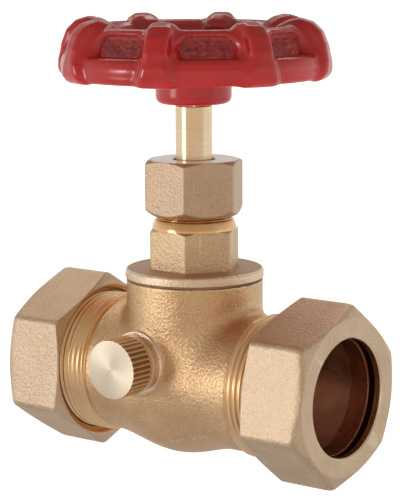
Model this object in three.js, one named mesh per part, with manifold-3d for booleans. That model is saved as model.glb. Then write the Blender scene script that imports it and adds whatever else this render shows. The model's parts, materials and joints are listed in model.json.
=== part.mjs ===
// A brass stop valve with a drain plug, for 28 mm copper tube, as a three.js scene.
//
// Millimetres, +Z up. The origin is where the tube axis (X) crosses the spindle axis (Z).
// The inlet is on +X, the outlet on -X, and the drain plug faces -Y.
// The valve is shown fully open, with both compression nuts and the drain plug hand tight.

import * as THREE from "three";
import { mergeVertices } from "three/addons/utils/BufferGeometryUtils.js";
import Module from "manifold-3d";

const wasm = await Module();
wasm.setup();

// ---------------------------------------------------------------- driving dimensions

const TUBE_RADIUS = 14.0; // 28 mm copper tube
const SOCKET_RADIUS = TUBE_RADIUS + 0.15;
const SOCKET_MOUTH = { depth: 1.8, radius: SOCKET_RADIUS + 1.9 }; // the cone that the olive is pressed into
const TUBE_STOP_X = 24.0; // how near the middle the tube goes
const WATERWAY_RADIUS = 13.0;
const CLEARANCE = 0.4; // radial, between a male and a female thread drawn as plain cylinders
const FACE_GAP = 0.1; // between faces that bear on each other
const LEAD_IN = 0.8; // chamfer at the start of a male thread
const EDGE = 0.6; // chamfer on other turned edges
const PAST = 1.0; // how far a cutter, or the end of a joined piece, reaches past a face
const ROUND_STEPS = 36; // straight sides in a large circle
const SMALL_STEPS = 24; // and in a small one

const RUN = { endX: 37.5, threadRadius: 17.5, threadStartX: 21.8, castRadius: 16.8 };
const NECK = { radius: 16.8, topZ: 24.0, boreRadius: 14.2 };
const BELLY = { x: -2.5, halfLength: 18.5, halfWidth: 16.8, depth: 19.75, steps: 10 };
const SEAT = { topZ: -0.8, radius: 9.0, ringRadius: 11.2, bridgeTopZ: -2.3, bridgeBottomZ: -4.3 };
const CHAMBER = { radius: 13.4, depth: 16.4, endX: -11.5, startX: 16.5, steps: 12 };

const DRAIN = { x: -4.4, z: 5.0, bossRadius: 7.9, bossStart: 8.0, faceY: -17.4, holeRadius: 3.6 };
const DRAIN_SEAL = { thickness: 1.3, radius: 6.9 };
const DRAIN_PLUG = { headRadius: 7.25, frontY: -27.0, shankRadius: 3.3, shankEndY: -12.4 };

const BONNET = {
  bottomZ: 17.0,
  spigotRadius: 13.85,
  flangeRadius: 17.05,
  flangeBottomZ: 24.6,
  flangeTopZ: 26.9,
  flangeChamfer: 0.5,
  hexFlats: 20.0,
  hexTopZ: 36.6,
  collarRadius: 10.35,
  collarBandZ: 37.4, // where the collar starts to narrow
  collarTopZ: 38.7,
  collarTopRadius: 9.4,
  neckRadius: 9.2,
  cornerAngle: -3,
  topZ: 48.0,
  threadBore: 6.8,
  backseatZ: 34.0,
  stemBore: 4.8,
  boxFloorZ: 41.0,
  boxRadius: 7.0,
};
const GASKET = { bore: 0.3, inset: 0.05, gap: 0.05 }; // past the spigot, inside the neck, over and under
const GLAND_NUT = {
  flats: 22.0,
  bottomZ: 39.9,
  ceilingZ: 49.5,
  topZ: 53.6,
  holeRadius: 5.3,
  chamfer: 0.8,
  cornerAngle: -3,
};
const PACKING = { bottomZ: 41.2, topZ: 46.0, radius: 6.85 };
const FOLLOWER = { bottomZ: 46.2, topZ: 49.4, radius: 6.8 };

const STEM_RADIUS = 4.5;
const SPINDLE = {
  bottomZ: 16.2,
  threadRadius: 6.5,
  threadBottomZ: 19.5,
  noseRadius: 5.4, // the plain end below the thread
  noseTopZ: 18.5,
  shoulderZ: 33.8,
  squareZ: 66.7,
  squareFlats: 6.4,
  studZ: 78.9,
  studRadius: 2.9,
  topZ: 84.3,
  socketRadius: 2.9,
  socketTopZ: 26.0,
  clipPocketRadius: 4.2,
  clipPocketTopZ: 18.6,
};
const JUMPER = { stemRadius: 2.6, stemTopZ: 25.0, discRadius: 11.5, discBottomZ: 12.5, discTopZ: 15.4 };
const JUMPER_STUD = { radius: 2.4, bottomZ: 5.9 };
const JUMPER_WASHER = { radius: 11.2, bottomZ: 9.5 };
const JUMPER_NUT = { flats: 8.0, bottomZ: 6.4 };
const CLIP = { bottomZ: 17.2, thickness: 0.8, innerRadius: 2.3, outerRadius: 3.9, grooveRadius: 2.0 };

const COMPRESSION_NUT = {
  flats: 39.0,
  length: 17.2,
  mouthRadius: 19.15,
  lipRadius: 14.2, // the hole that the tube passes through
  lipThickness: 3.0,
  threadDepth: 10.4,
  coneRadius: 16.9,
  innerChamfer: 0.4,
  outerChamfer: 0.9,
};
const INLET_NUT = { startX: 28.6, cornerAngle: 49.9 }; // where the inner face is, and how far it's turned
const OUTLET_NUT = { startX: 28.1, cornerAngle: 2.7 };
const OLIVE = { startX: 37.0, width: 5.0, innerRadius: 14.15, crownRadius: 16.1, endRadius: 14.9 };

const WHEEL = {
  grips: 8,
  firstGripAngle: 22.5, // degrees from +X
  gripWidth: 6.4,
  gripBevel: 0.8,
  windowHalfWidth: 9.0,
  windowBottomZ: 79.5,
  windowTopZ: 84.4,
  windowInnerRadius: 25.3,
  facetsPerGrip: 5,
  seatZ: 79.0, // where the washer and nut bear
  squareFlats: 6.9,
};
const WHEEL_WASHER = { innerRadius: 3.2, outerRadius: 6.1, thickness: 1.0 };
const WHEEL_NUT = { flats: 10.0, height: 3.6 };

const BRASS_FORGED = { color: 0xb98f5e, roughness: 0.5, metalness: 1.0 };
const BRASS_TURNED = { color: 0xd9b77e, roughness: 0.28, metalness: 1.0 };
const COPPER = { color: 0xc98860, roughness: 0.3, metalness: 1.0 };
const RED_ENAMEL = { color: 0xa81c20, roughness: 0.22, metalness: 0.0 };
const RUBBER = { color: 0x1c1b1a, roughness: 0.8, metalness: 0.0 };
const FIBRE = { color: 0x5c3a26, roughness: 0.85, metalness: 0.0 };
const GRAPHITE = { color: 0x3a3a3c, roughness: 0.6, metalness: 0.2 };
const ZINC_STEEL = { color: 0x9b9a96, roughness: 0.32, metalness: 1.0 };

// ---------------------------------------------------------------- shape helpers

/** A geometry with its normals and uvs dropped and its shared corners merged. */
function welded(geometry) {
  const bare = geometry.clone();
  bare.deleteAttribute("normal");
  bare.deleteAttribute("uv");
  return mergeVertices(bare, 1e-4);
}

/** A closed geometry as a solid that can be joined and cut. */
function solidOf(geometry) {
  const merged = welded(geometry);
  const triangles = new Uint32Array(merged.index.array);
  const build = () =>
    new wasm.Manifold(
      new wasm.Mesh({
        numProp: 3,
        vertProperties: new Float32Array(merged.attributes.position.array),
        triVerts: triangles,
      }),
    );
  const solid = build();
  if (solid.volume() >= 0) {
    return solid;
  }
  for (let i = 0; i < triangles.length; i += 3) {
    [triangles[i + 1], triangles[i + 2]] = [triangles[i + 2], triangles[i + 1]];
  }
  return build();
}

/** The geometry of a solid. */
function geometryOf(solid) {
  const mesh = solid.getMesh();
  const geometry = new THREE.BufferGeometry();
  geometry.setAttribute("position", new THREE.BufferAttribute(mesh.vertProperties, 3));
  geometry.setIndex(new THREE.BufferAttribute(mesh.triVerts, 1));
  geometry.computeVertexNormals();
  return geometry;
}

/** A solid of revolution about Z, from [radius, z] pairs that end on the axis or are closed here. */
function turned(profile, steps = ROUND_STEPS) {
  const points = profile.map(([radius, z]) => new THREE.Vector2(radius, z));
  const onAxis = profile[0][0] === 0 && profile.at(-1)[0] === 0;
  if (!onAxis) {
    points.push(points[0].clone());
  }
  return solidOf(new THREE.LatheGeometry(points, steps).rotateX(Math.PI / 2));
}

/** A plain cylinder about Z. */
function rod(radius, fromZ, toZ, steps = ROUND_STEPS) {
  return turned([[0, fromZ], [radius, fromZ], [radius, toZ], [0, toZ]], steps);
}

/** A washer or tube about Z. */
function ring(innerRadius, outerRadius, fromZ, toZ, steps = ROUND_STEPS) {
  const profile = [
    [innerRadius, fromZ],
    [outerRadius, fromZ],
    [outerRadius, toZ],
    [innerRadius, toZ],
  ];
  return turned(profile, steps);
}

/** A regular prism about Z, with its first corner at an angle from +X. */
function prism(sides, acrossFlats, fromZ, toZ, cornerAngle = 0) {
  const cornerRadius = acrossFlats / 2 / Math.cos(Math.PI / sides);
  const corners = Array.from({ length: sides }, (_, i) => {
    const angle = THREE.MathUtils.degToRad(cornerAngle) + (2 * Math.PI * i) / sides;
    return new THREE.Vector2(cornerRadius * Math.cos(angle), cornerRadius * Math.sin(angle));
  });
  const settings = { depth: toZ - fromZ, bevelEnabled: false };
  return solidOf(new THREE.ExtrudeGeometry(new THREE.Shape(corners), settings).translate(0, 0, fromZ));
}

/** A hexagon whose corners are turned down to a cone at both ends, as on any nut. */
function chamferedHex(flats, fromZ, toZ, cornerAngle, chamfers = [1, 1]) {
  const cornerRadius = flats / Math.sqrt(3);
  const faceRadius = flats / 2 + 0.2;
  const [below, above] = chamfers;
  const envelope = turned([
    [0, fromZ],
    [below ? faceRadius : cornerRadius + 1, fromZ],
    [cornerRadius + (below ? 0 : 1), fromZ + below],
    [cornerRadius + (above ? 0 : 1), toZ - above],
    [above ? faceRadius : cornerRadius + 1, toZ],
    [0, toZ],
  ]);
  return prism(6, flats, fromZ, toZ, cornerAngle).intersect(envelope);
}

/** A box between two corners. */
function box(low, high) {
  const size = high.map((value, i) => value - low[i]);
  const middle = high.map((value, i) => (value + low[i]) / 2);
  return solidOf(new THREE.BoxGeometry(...size).translate(...middle));
}

/** An ellipsoid about the origin, with so many steps from pole to pole. */
function ellipsoid(halfSizes, steps) {
  return solidOf(new THREE.SphereGeometry(1, ROUND_STEPS, steps).rotateX(Math.PI / 2).scale(...halfSizes));
}

/** A solid turned so that its +Z points along +X. */
const alongX = (solid) => solid.rotate([0, 90, 0]);

/** A solid turned so that its +Z points along -Y. */
const alongMinusY = (solid) => solid.rotate([90, 0, 0]);

/** A named mesh of a solid with a material of its own. */
function piece(name, solid, finish) {
  const mesh = new THREE.Mesh(geometryOf(solid), new THREE.MeshStandardMaterial(finish));
  mesh.name = name;
  return mesh;
}

// ---------------------------------------------------------------- body casting

function bodyCasting() {
  const run = alongX(
    turned([
      [0, -RUN.endX],
      [RUN.threadRadius - LEAD_IN, -RUN.endX],
      [RUN.threadRadius, -RUN.endX + LEAD_IN],
      [RUN.threadRadius, -RUN.threadStartX],
      [RUN.castRadius, -RUN.threadStartX + EDGE],
      [RUN.castRadius, RUN.threadStartX - EDGE],
      [RUN.threadRadius, RUN.threadStartX],
      [RUN.threadRadius, RUN.endX - LEAD_IN],
      [RUN.threadRadius - LEAD_IN, RUN.endX],
      [0, RUN.endX],
    ]),
  );
  const neck = rod(NECK.radius, 0, NECK.topZ);
  const belly = ellipsoid([BELLY.halfLength, BELLY.halfWidth, BELLY.depth], BELLY.steps);
  const boss = alongMinusY(rod(DRAIN.bossRadius, DRAIN.bossStart, -DRAIN.faceY, SMALL_STEPS));
  const outside = run
    .add(neck)
    .add(belly.translate([BELLY.x, 0, 0]))
    .add(boss.translate([DRAIN.x, 0, DRAIN.z]));

  const socket = alongX(
    turned([
      [0, TUBE_STOP_X],
      [SOCKET_RADIUS, TUBE_STOP_X],
      [SOCKET_RADIUS, RUN.endX - SOCKET_MOUTH.depth],
      [SOCKET_MOUTH.radius, RUN.endX + FACE_GAP],
      [SOCKET_MOUTH.radius, RUN.endX + PAST],
      [0, RUN.endX + PAST],
    ]),
  );
  const passage = alongX(rod(WATERWAY_RADIUS, CHAMBER.startX - PAST / 10, TUBE_STOP_X + PAST / 10));
  const waterway = alongX(rod(WATERWAY_RADIUS, -TUBE_STOP_X, TUBE_STOP_X));
  const globe = ellipsoid([CHAMBER.radius, CHAMBER.radius, CHAMBER.depth], CHAMBER.steps);
  const reach = 60; // past everything, for cutting boxes
  const below = box([CHAMBER.endX, -reach, -reach], [CHAMBER.startX, reach, SEAT.bridgeBottomZ]);
  const above = box([-CHAMBER.startX - PAST / 10, -reach, SEAT.bridgeTopZ], [-CHAMBER.endX, reach, reach]);
  const seatRing = ring(SEAT.radius, SEAT.ringRadius, SEAT.bridgeBottomZ, SEAT.topZ);
  const inletChamber = waterway.add(globe).intersect(below);
  const outletChamber = waterway.intersect(above);
  const neckChamber = rod(NECK.boreRadius, SEAT.bridgeTopZ, NECK.topZ + PAST);
  const drainHole = alongMinusY(rod(DRAIN.holeRadius, DRAIN.bossStart - 2 * PAST, PAST - DRAIN.faceY, SMALL_STEPS));
  return outside
    .subtract(socket)
    .subtract(socket.rotate([0, 0, 180]))
    .subtract(passage)
    .subtract(passage.rotate([0, 0, 180]))
    .subtract(inletChamber)
    .subtract(outletChamber.add(neckChamber).subtract(seatRing))
    .subtract(rod(SEAT.radius, SEAT.bridgeBottomZ - PAST / 10, SEAT.topZ + PAST / 10))
    .subtract(drainHole.translate([DRAIN.x, 0, DRAIN.z]));
}

// ---------------------------------------------------------------- bonnet and gland

function bonnet() {
  const b = BONNET;
  const lower = turned([
    [0, b.bottomZ],
    [b.spigotRadius - LEAD_IN, b.bottomZ],
    [b.spigotRadius, b.bottomZ + LEAD_IN],
    [b.spigotRadius, b.flangeBottomZ],
    [b.flangeRadius, b.flangeBottomZ],
    [b.flangeRadius, b.flangeTopZ - b.flangeChamfer],
    [b.flangeRadius - b.flangeChamfer, b.flangeTopZ],
    [0, b.flangeTopZ],
  ]);
  const upper = turned([
    [0, b.flangeTopZ - PAST],
    [b.neckRadius - 1, b.flangeTopZ - PAST],
    [b.collarRadius, b.hexTopZ - PAST],
    [b.collarRadius, b.collarBandZ],
    [b.collarTopRadius, b.collarTopZ],
    [b.neckRadius, b.collarTopZ],
    [b.neckRadius, b.topZ - EDGE],
    [b.neckRadius - EDGE, b.topZ],
    [0, b.topZ],
  ]);
  const bores = turned([
    [0, b.bottomZ - PAST],
    [b.threadBore, b.bottomZ - PAST],
    [b.threadBore, b.backseatZ],
    [b.stemBore, b.backseatZ],
    [b.stemBore, b.boxFloorZ],
    [b.boxRadius, b.boxFloorZ],
    [b.boxRadius, b.topZ + PAST],
    [0, b.topZ + PAST],
  ]);
  const hex = chamferedHex(b.hexFlats, b.flangeTopZ - PAST / 2, b.hexTopZ, b.cornerAngle, [0, EDGE]);
  return lower.add(hex).add(upper).subtract(bores);
}

function glandNut() {
  const g = GLAND_NUT;
  const threadBore = BONNET.neckRadius + CLEARANCE;
  return chamferedHex(g.flats, g.bottomZ, g.topZ, g.cornerAngle, [g.chamfer, g.chamfer])
    .subtract(rod(threadBore, g.bottomZ - PAST, g.ceilingZ))
    .subtract(rod(g.holeRadius, g.ceilingZ - PAST, g.topZ + PAST));
}

// ---------------------------------------------------------------- spindle and jumper

function spindle() {
  const s = SPINDLE;
  const stem = turned(
    [
      [0, s.bottomZ],
      [s.noseRadius, s.bottomZ],
      [s.noseRadius, s.noseTopZ],
      [s.threadRadius, s.threadBottomZ],
      [s.threadRadius, s.shoulderZ],
      [STEM_RADIUS, s.shoulderZ],
      [STEM_RADIUS, s.squareZ],
      [0, s.squareZ],
    ],
    SMALL_STEPS,
  );
  const square = prism(4, s.squareFlats, s.squareZ - PAST, s.studZ, 45);
  const stud = turned(
    [
      [0, s.studZ - PAST],
      [s.studRadius, s.studZ - PAST],
      [s.studRadius, s.topZ - EDGE],
      [s.studRadius - EDGE, s.topZ],
      [0, s.topZ],
    ],
    SMALL_STEPS,
  );
  return stem
    .add(square)
    .add(stud)
    .subtract(rod(s.clipPocketRadius, s.bottomZ - PAST, s.clipPocketTopZ, SMALL_STEPS))
    .subtract(rod(s.socketRadius, s.bottomZ - PAST, s.socketTopZ, SMALL_STEPS));
}

function jumper() {
  const j = JUMPER;
  const grooveBottomZ = CLIP.bottomZ - 0.2;
  const grooveTopZ = CLIP.bottomZ + CLIP.thickness + 0.2;
  return turned(
    [
      [0, JUMPER_STUD.bottomZ],
      [JUMPER_STUD.radius, JUMPER_STUD.bottomZ],
      [JUMPER_STUD.radius, j.discBottomZ],
      [j.discRadius, j.discBottomZ],
      [j.discRadius, j.discTopZ - EDGE],
      [j.discRadius - EDGE, j.discTopZ],
      [j.stemRadius, j.discTopZ],
      [j.stemRadius, grooveBottomZ],
      [CLIP.grooveRadius, grooveBottomZ],
      [CLIP.grooveRadius, grooveTopZ],
      [j.stemRadius, grooveTopZ],
      [j.stemRadius, j.stemTopZ],
      [0, j.stemTopZ],
    ],
    SMALL_STEPS,
  );
}

function jumperClip() {
  const mouth = box([0, -CLIP.innerRadius * 0.7, 0], [CLIP.outerRadius * 2, CLIP.innerRadius * 0.7, 40]);
  const topZ = CLIP.bottomZ + CLIP.thickness;
  const whole = ring(CLIP.innerRadius, CLIP.outerRadius, CLIP.bottomZ, topZ, SMALL_STEPS);
  return whole.subtract(mouth);
}

function hexNut(flats, bottomZ, topZ, holeRadius) {
  return chamferedHex(flats, bottomZ, topZ, 30, [0.4, 0.4]).subtract(
    rod(holeRadius, bottomZ - 1, topZ + 1, SMALL_STEPS),
  );
}

// ---------------------------------------------------------------- handwheel

function wheelShell() {
  return turned(
    [
      [0, 67.1],
      [8.1, 67.1],
      [9.3, 68.3],
      [9.3, 75.0],
      [11.0, 76.7],
      [17.0, 76.9],
      [21.2, 78.6],
      [24.4, 83.0],
      [25.8, 83.0],
      [28.4, 78.6],
      [29.3, 76.4],
      [29.3, 73.4],
      [31.2, 73.4],
      [32.1, 74.4],
      [32.0, 77.0],
      [29.2, 82.4],
      [28.2, 84.9],
      [25.8, 86.1],
      [24.3, 85.5],
      [20.0, 80.6],
      [16.4, 79.0],
      [0, WHEEL.seatZ],
    ],
    WHEEL.grips * WHEEL.facetsPerGrip,
  );
}

/** One knuckle of the rim: its side view in radius and height, with the faces a grip width apart. */
function wheelGrip() {
  const side = [
    [20.6, 82.6],
    [20.8, 85.6],
    [22.4, 87.4],
    [25.0, 88.1],
    [27.5, 87.7],
    [29.9, 86.7],
    [31.6, 84.8],
    [32.8, 81.9],
    [33.6, 78.8],
    [34.1, 76.2],
    [33.6, 74.6],
    [31.6, 73.5],
    [29.8, 73.4],
    [29.4, 77.2],
    [27.9, 80.6],
    [25.9, 82.6],
    [23.6, 82.6],
  ].map(([radius, z]) => new THREE.Vector2(radius, z));
  const bevel = WHEEL.gripBevel;
  const settings = {
    depth: WHEEL.gripWidth - 2 * bevel,
    bevelEnabled: true,
    bevelThickness: bevel,
    bevelSize: bevel,
    bevelOffset: -bevel,
    bevelSegments: 1,
  };
  const upright = new THREE.ExtrudeGeometry(new THREE.Shape(side), settings)
    .translate(0, 0, -WHEEL.gripWidth / 2 + bevel)
    .rotateX(Math.PI / 2);
  return solidOf(upright);
}

function handwheel() {
  const w = WHEEL;
  const pitch = 360 / w.grips;
  const grip = wheelGrip();
  const window = box(
    [w.windowInnerRadius, -w.windowHalfWidth, w.windowBottomZ],
    [40, w.windowHalfWidth, w.windowTopZ],
  );
  let wheel = wheelShell();
  for (let i = 0; i < w.grips; i++) {
    wheel = wheel.subtract(window.rotate([0, 0, w.firstGripAngle + pitch * (i + 0.5)]));
  }
  for (let i = 0; i < w.grips; i++) {
    wheel = wheel.add(grip.rotate([0, 0, w.firstGripAngle + pitch * i]));
  }
  return wheel.subtract(prism(4, w.squareFlats, 60, w.seatZ + 1, 45));
}

// ---------------------------------------------------------------- compression joints and drain

/** A compression nut about Z, with its inner face at z = 0 and the tube leaving along +Z. */
function compressionNut(cornerAngle) {
  const n = COMPRESSION_NUT;
  const threadBore = RUN.threadRadius + CLEARANCE;
  const lipZ = n.length - n.lipThickness;
  const hollow = turned([
    [0, -1],
    [n.mouthRadius + 1, -1],
    [n.mouthRadius, 0],
    [threadBore, n.mouthRadius - threadBore],
    [threadBore, n.threadDepth],
    [n.coneRadius, n.threadDepth],
    [n.coneRadius, lipZ - 2],
    [n.lipRadius + 1, lipZ],
    [n.lipRadius, lipZ],
    [n.lipRadius, n.length + 1],
    [0, n.length + 1],
  ]);
  const chamfers = [n.innerChamfer, n.outerChamfer];
  return chamferedHex(n.flats, 0, n.length, cornerAngle, chamfers).subtract(hollow);
}

/** A barrel-shaped olive about Z, from z = 0. */
function olive() {
  const o = OLIVE;
  return turned([
    [o.innerRadius, 0],
    [o.endRadius, 0],
    [o.crownRadius, 1.5],
    [o.crownRadius, o.width - 1.5],
    [o.endRadius, o.width],
    [o.innerRadius, o.width],
  ]);
}

/** The drain plug about Z, with z measured from the valve's X-Z plane towards the head. */
function drainPlug() {
  const d = DRAIN_PLUG;
  const headZ = -DRAIN.faceY + DRAIN_SEAL.thickness + 2 * FACE_GAP;
  const frontZ = -d.frontY;
  return turned(
    [
      [0, -d.shankEndY],
      [d.shankRadius - 0.6, -d.shankEndY],
      [d.shankRadius, -d.shankEndY + 0.6],
      [d.shankRadius, headZ],
      [d.headRadius, headZ],
      [d.headRadius, frontZ - 0.4],
      [d.headRadius - 0.4, frontZ],
      [0, frontZ],
    ],
    SMALL_STEPS,
  );
}

/** An end of the valve: a group whose +Z is the way the tube leaves. */
function tubeEnd(label, nut, turn) {
  const end = new THREE.Group();
  const nutMesh = piece(label + "_compression_nut", compressionNut(nut.cornerAngle), BRASS_FORGED);
  const oliveMesh = piece(label + "_olive", olive(), COPPER);
  nutMesh.position.z = nut.startX;
  oliveMesh.position.z = OLIVE.startX;
  end.add(nutMesh, oliveMesh);
  end.rotation.y = turn;
  return end;
}

// ---------------------------------------------------------------- the assembly

const valve = new THREE.Group();
valve.name = "stop_valve";

valve.add(piece("body_casting", bodyCasting(), BRASS_FORGED));

const gasket = ring(
  BONNET.spigotRadius + GASKET.bore,
  NECK.radius - GASKET.inset,
  NECK.topZ + GASKET.gap,
  BONNET.flangeBottomZ - GASKET.gap,
);
valve.add(piece("bonnet_gasket", gasket, FIBRE));
valve.add(piece("bonnet", bonnet(), BRASS_FORGED));

const packing = ring(BONNET.stemBore, PACKING.radius, PACKING.bottomZ, PACKING.topZ, SMALL_STEPS);
const followerBore = BONNET.stemBore + 0.05;
const follower = ring(followerBore, FOLLOWER.radius, FOLLOWER.bottomZ, FOLLOWER.topZ, SMALL_STEPS);
valve.add(piece("gland_packing", packing, GRAPHITE));
valve.add(piece("gland_follower", follower, BRASS_TURNED));
valve.add(piece("gland_nut", glandNut(), BRASS_FORGED));

const washerTopZ = JUMPER.discBottomZ - FACE_GAP;
const nutTopZ = JUMPER_WASHER.bottomZ - FACE_GAP;
const studHole = JUMPER_STUD.radius + 0.2;
const jumperWasher = ring(studHole, JUMPER_WASHER.radius, JUMPER_WASHER.bottomZ, washerTopZ, SMALL_STEPS);
const jumperNut = hexNut(JUMPER_NUT.flats, JUMPER_NUT.bottomZ, nutTopZ, studHole);
valve.add(piece("spindle", spindle(), BRASS_TURNED));
valve.add(piece("jumper", jumper(), BRASS_TURNED));
valve.add(piece("jumper_clip", jumperClip(), ZINC_STEEL));
valve.add(piece("jumper_washer", jumperWasher, RUBBER));
valve.add(piece("jumper_washer_nut", jumperNut, BRASS_TURNED));

const washerZ = WHEEL.seatZ + FACE_GAP;
const wheelNutZ = washerZ + WHEEL_WASHER.thickness + FACE_GAP;
const wheelWasher = ring(
  WHEEL_WASHER.innerRadius,
  WHEEL_WASHER.outerRadius,
  washerZ,
  washerZ + WHEEL_WASHER.thickness,
  SMALL_STEPS,
);
const wheelNut = hexNut(WHEEL_NUT.flats, wheelNutZ, wheelNutZ + WHEEL_NUT.height, WHEEL_WASHER.innerRadius);
valve.add(piece("handwheel", handwheel(), RED_ENAMEL));
valve.add(piece("handwheel_washer", wheelWasher, ZINC_STEEL));
valve.add(piece("handwheel_nut", wheelNut, ZINC_STEEL));

valve.add(tubeEnd("inlet", INLET_NUT, Math.PI / 2));
valve.add(tubeEnd("outlet", OUTLET_NUT, -Math.PI / 2));

const drain = new THREE.Group();
const sealZ = -DRAIN.faceY + FACE_GAP;
const sealBore = DRAIN_PLUG.shankRadius + 0.3;
const drainSeal = ring(sealBore, DRAIN_SEAL.radius, sealZ, sealZ + DRAIN_SEAL.thickness, SMALL_STEPS);
drain.add(piece("drain_seal", drainSeal, COPPER));
drain.add(piece("drain_plug", drainPlug(), BRASS_TURNED));
drain.rotation.x = Math.PI / 2;
drain.position.set(DRAIN.x, 0, DRAIN.z);
valve.add(drain);

export default valve;
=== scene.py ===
import json
import math

import bmesh
import bpy
import numpy as np
from mathutils import Matrix, Vector


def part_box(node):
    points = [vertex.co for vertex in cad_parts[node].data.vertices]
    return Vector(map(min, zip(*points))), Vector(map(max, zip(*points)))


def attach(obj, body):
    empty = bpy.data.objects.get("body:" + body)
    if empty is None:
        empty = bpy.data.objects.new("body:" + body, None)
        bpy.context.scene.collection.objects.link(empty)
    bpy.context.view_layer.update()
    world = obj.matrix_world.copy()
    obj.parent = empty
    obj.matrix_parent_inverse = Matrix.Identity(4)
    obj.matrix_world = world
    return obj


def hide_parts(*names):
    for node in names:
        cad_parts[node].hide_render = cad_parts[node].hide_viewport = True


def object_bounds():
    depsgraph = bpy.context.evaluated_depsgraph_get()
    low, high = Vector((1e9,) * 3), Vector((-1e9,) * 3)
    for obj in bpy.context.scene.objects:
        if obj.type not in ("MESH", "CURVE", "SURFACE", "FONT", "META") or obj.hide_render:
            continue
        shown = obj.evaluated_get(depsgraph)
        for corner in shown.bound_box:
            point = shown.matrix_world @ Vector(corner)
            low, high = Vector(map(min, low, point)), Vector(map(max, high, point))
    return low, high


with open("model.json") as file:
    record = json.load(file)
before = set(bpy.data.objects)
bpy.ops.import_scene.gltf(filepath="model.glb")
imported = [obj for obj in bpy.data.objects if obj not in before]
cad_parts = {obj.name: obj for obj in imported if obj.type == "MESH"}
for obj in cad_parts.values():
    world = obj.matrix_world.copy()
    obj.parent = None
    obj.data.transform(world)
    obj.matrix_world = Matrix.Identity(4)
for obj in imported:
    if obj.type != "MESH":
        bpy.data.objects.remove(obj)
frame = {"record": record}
CAD_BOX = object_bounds()

# Shapes are worked out in millimetres, in the frame's axes, and become metres in new_piece().
MM = 0.001
SMOOTH_ANGLE = 32.0  # edges sharper than this many degrees stay sharp
RECORD = frame["record"]
BODY_OF = {n: b for b, names in RECORD["behaviour"]["bodies"].items() for n in names}


def box_mm(node):
    """The lowest and highest corners of a CAD node, in millimetres."""
    low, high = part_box(node)
    return np.array(low) / MM, np.array(high) / MM


# ---- meshes


def new_piece(name, points, faces, smooth_angle=SMOOTH_ANGLE):
    """A mesh object of points in millimetres, its faces turned outwards and its sharp edges marked."""
    mesh = bpy.data.meshes.new(name)
    mesh.from_pydata((np.asarray(points) * MM).tolist(), [], faces)
    work = bmesh.new()
    work.from_mesh(mesh)
    bmesh.ops.remove_doubles(work, verts=work.verts, dist=1e-7)
    bmesh.ops.dissolve_degenerate(work, edges=work.edges, dist=1e-7)
    bmesh.ops.recalc_face_normals(work, faces=work.faces)
    if work.calc_volume(signed=True) < 0:
        bmesh.ops.reverse_faces(work, faces=work.faces)
    work.to_mesh(mesh)
    work.free()
    piece = bpy.data.objects.new(name, mesh)
    bpy.context.collection.objects.link(piece)
    soften(piece, smooth_angle)
    return piece


def soften(piece, smooth_angle):
    """Smooth shading, broken at edges sharper than the angle."""
    piece.data.shade_smooth()
    piece.data.set_sharp_from_angle(angle=math.radians(smooth_angle))


def joined(piece, others, operation="UNION", smooth_angle=SMOOTH_ANGLE):
    """Joins or cuts a piece with others, which are used up."""
    for other in others:
        cut = piece.modifiers.new("join", "BOOLEAN")
        cut.operation = operation
        cut.solver = "MANIFOLD"
        cut.object = other
        bpy.context.view_layer.update()
        graph = bpy.context.evaluated_depsgraph_get()
        result = bpy.data.meshes.new_from_object(piece.evaluated_get(graph))
        piece.modifiers.clear()
        old, piece.data = piece.data, result
        bpy.data.meshes.remove(old)
        bpy.data.objects.remove(other)
    soften(piece, smooth_angle)


def placed(points, towards="+Z", shift=(0, 0, 0)):
    """Points made about +Z, turned so that +Z points another way, then shifted."""
    x, y, z = np.asarray(points, float).T
    facing = {"+Z": (x, y, z), "+X": (z, y, -x), "-X": (-z, y, x), "-Y": (x, -z, y)}[towards]
    return np.stack(facing, 1) + np.array(shift, float)


def eased(corners, segments):
    """A profile whose corners are rounded.

    Each corner is (radius, z) or (radius, z, ease), where ease is how far from the corner the curve
    starts. Radii and heights can be numbers, or arrays with a value for each angle.
    """
    shape = max((np.shape(v) for corner in corners for v in corner[:2]), key=len)
    spots = [np.stack([np.broadcast_to(np.asarray(v, float), shape) for v in c[:2]], -1) for c in corners]
    eases = [c[2] if len(c) > 2 else 0.0 for c in corners]
    out = []
    for i, (spot, ease) in enumerate(zip(spots, eases)):
        if not ease:
            out.append(spot)
            continue
        before = spots[i - 1] - spot
        after = spots[(i + 1) % len(spots)] - spot
        reach_before = np.linalg.norm(before, axis=-1, keepdims=True)
        reach_after = np.linalg.norm(after, axis=-1, keepdims=True)
        ease_before = np.minimum(ease, 0.45 * reach_before) / np.maximum(reach_before, 1e-9)
        ease_after = np.minimum(ease, 0.45 * reach_after) / np.maximum(reach_after, 1e-9)
        start = spot + before * ease_before
        end = spot + after * ease_after
        for t in np.linspace(0, 1, segments + 1):
            out.append((1 - t) ** 2 * start + 2 * t * (1 - t) * spot + t * t * end)
    return np.stack(out, -2)


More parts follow.
